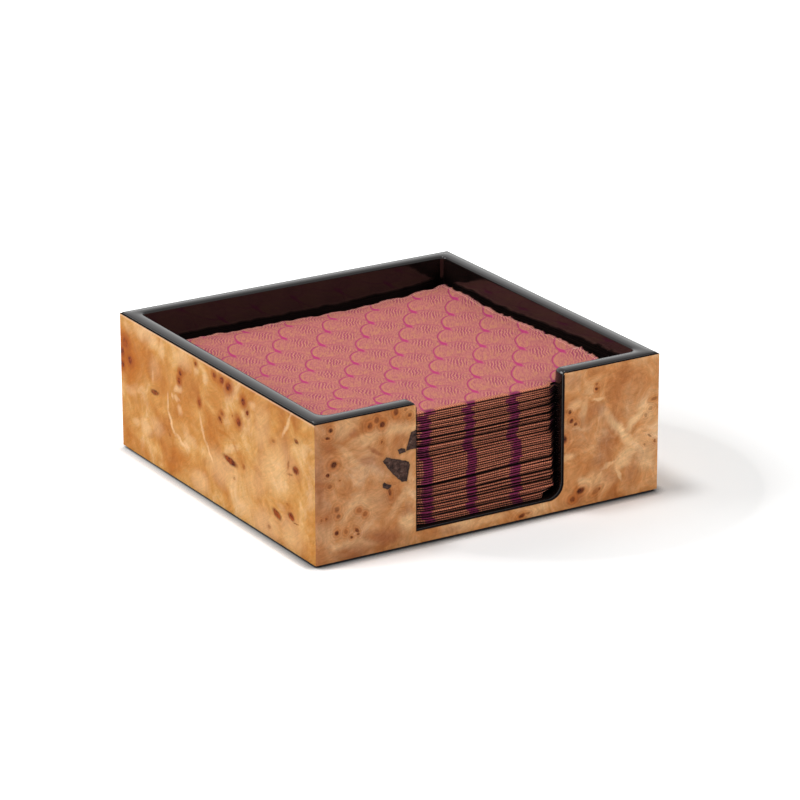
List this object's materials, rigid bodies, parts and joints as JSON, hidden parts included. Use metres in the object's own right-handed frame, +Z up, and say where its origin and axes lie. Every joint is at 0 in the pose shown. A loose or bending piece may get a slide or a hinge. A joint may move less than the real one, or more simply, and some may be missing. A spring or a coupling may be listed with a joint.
{
  "type": "napkin holder",
  "caption": "Square open-topped napkin holder: burl veneer outside, black lacquer inside, rounded rim, finger notch in the front wall, and a stack of folded paper napkins.",
  "frame": {"origin": "middle of the underside, on the table", "axes": "+Z up, -Y towards the finger notch, +X to the right of someone facing the notch"},
  "size_m": [0.19, 0.19, 0.0708],
  "materials": {
    "black_lacquer": "gloss",
    "burl_veneer": "gloss",
    "spline_wood": "matte",
    "felt": "matte",
    "napkin_paper": "matte"
  },
  "bodies": {
    "box": {"front_wall": "black_lacquer", "right_wall": "black_lacquer", "back_wall": "black_lacquer", "left_wall": "black_lacquer", "front_veneer": "burl_veneer", "right_veneer": "burl_veneer", "back_veneer": "burl_veneer", "left_veneer": "burl_veneer", "front_right_spline": "spline_wood", "back_right_spline": "spline_wood", "back_left_spline": "spline_wood", "front_left_spline": "spline_wood", "floor_panel": "black_lacquer", "base_pad": "felt"},
    "napkin_stack": {"napkin_01": "napkin_paper", "napkin_02": "napkin_paper", "napkin_03": "napkin_paper", "napkin_04": "napkin_paper", "napkin_05": "napkin_paper", "napkin_06": "napkin_paper", "napkin_07": "napkin_paper", "napkin_08": "napkin_paper", "napkin_09": "napkin_paper", "napkin_10": "napkin_paper", "napkin_11": "napkin_paper", "napkin_12": "napkin_paper", "napkin_13": "napkin_paper", "napkin_14": "napkin_paper", "napkin_15": "napkin_paper", "napkin_16": "napkin_paper", "napkin_17": "napkin_paper", "napkin_18": "napkin_paper", "napkin_19": "napkin_paper", "napkin_20": "napkin_paper", "napkin_21": "napkin_paper", "napkin_22": "napkin_paper", "napkin_23": "napkin_paper", "napkin_24": "napkin_paper"},
    "top_napkin": {"top_napkin": "napkin_paper"}
  },
  "joints": [
    {"name": "stack_lift", "type": "slide", "parent": "box", "child": "napkin_stack", "axis": [0, 0, 1], "range_m": [0, 0.075]},
    {"name": "top_napkin_lift", "type": "slide", "parent": "napkin_stack", "child": "top_napkin", "axis": [0, 0, 1], "range_m": [0, 0.03]}
  ]
}
